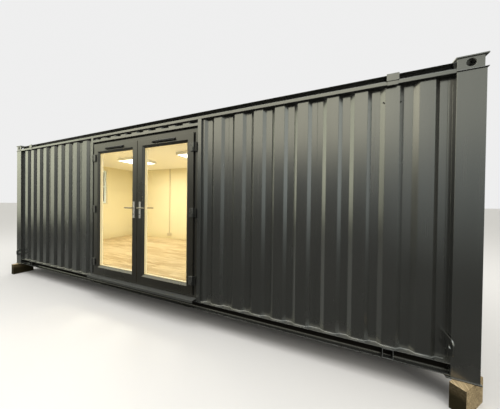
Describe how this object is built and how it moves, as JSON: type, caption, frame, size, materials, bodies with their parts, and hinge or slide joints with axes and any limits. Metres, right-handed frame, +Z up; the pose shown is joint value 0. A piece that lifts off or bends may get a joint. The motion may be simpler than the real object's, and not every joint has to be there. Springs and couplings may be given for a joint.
{
  "type": "portable site cabin",
  "caption": "Steel framed, corrugated portable cabin with a lined room, glazed double doors that open outwards, an end window and timber blocks under its corners.",
  "frame": {"origin": "on the ground at the middle of the cabin's plan, at the foot of the timber blocks", "axes": "+X to the right along the cabin as seen from the doors, +Y from the doors to the rear wall, +Z up"},
  "size_m": [7.463, 2.9562, 2.705],
  "materials": {
    "grey_steel": "satin, weathered",
    "timber": "rough sawn",
    "laminate": "satin",
    "lining": "matt",
    "white_trim": "gloss",
    "door_grey": "satin",
    "bright_metal": "satin",
    "zinc": "dull",
    "glazing": "clear"
  },
  "bodies": {
    "cabin": {"timber_blocks": "timber", "foot_plates": "grey_steel", "corner_posts": "grey_steel", "corner_blocks": "grey_steel", "floor_rails": "grey_steel", "floor_joists": "grey_steel", "roof_rails": "grey_steel", "front_wall_left": "grey_steel", "front_wall_right": "grey_steel", "front_wall_over_door": "grey_steel", "rear_wall": "grey_steel", "left_end_wall": "grey_steel", "right_end_wall": "grey_steel", "roof_sheet": "grey_steel", "floor_deck": "timber", "floor_covering": "laminate", "ceiling": "lining", "front_lining": "lining", "rear_lining": "lining", "left_end_lining": "lining", "right_end_lining": "lining", "door_surround": "grey_steel", "door_frame": "door_grey", "door_sill": "grey_steel", "frame_hinges": "door_grey", "window_surround": "grey_steel", "window_frame": "door_grey", "window_glass": "glazing", "lashing_lugs": "grey_steel", "rail_brackets": "grey_steel", "drain_tubes": "zinc", "ceiling_lights": "white_trim", "socket_trunking": "white_trim"},
    "left_door": {"left_leaf": "door_grey", "left_leaf_glass": "glazing", "left_leaf_hinges": "door_grey", "left_leaf_vent": "door_grey", "left_handle_plates": "bright_metal"},
    "left_handle": {"left_lever": "bright_metal"},
    "right_door": {"right_leaf": "door_grey", "right_leaf_glass": "glazing", "right_leaf_hinges": "door_grey", "right_leaf_vent": "door_grey", "right_handle_plates": "bright_metal"},
    "right_handle": {"right_lever": "bright_metal"}
  },
  "joints": [
    {"name": "left_door_hinge", "type": "hinge", "parent": "cabin", "child": "left_door", "pos_m": [-0.997, -1.3915, 1.4], "axis": [0, 0, -1], "range_deg": [0, 100]},
    {"name": "right_door_hinge", "type": "hinge", "parent": "cabin", "child": "right_door", "pos_m": [0.997, -1.3915, 1.4], "axis": [0, 0, 1], "range_deg": [0, 100]},
    {"name": "left_lever_turn", "type": "hinge", "parent": "left_door", "child": "left_handle", "pos_m": [-0.062, -1.3475, 1.465], "axis": [0, -1, 0], "range_deg": [0, 40], "stiffness_Nm_per_rad": 1.5, "springref_deg": -28.65},
    {"name": "right_lever_turn", "type": "hinge", "parent": "right_door", "child": "right_handle", "pos_m": [0.062, -1.3475, 1.465], "axis": [0, 1, 0], "range_deg": [0, 40], "stiffness_Nm_per_rad": 1.5, "springref_deg": -28.65}
  ]
}
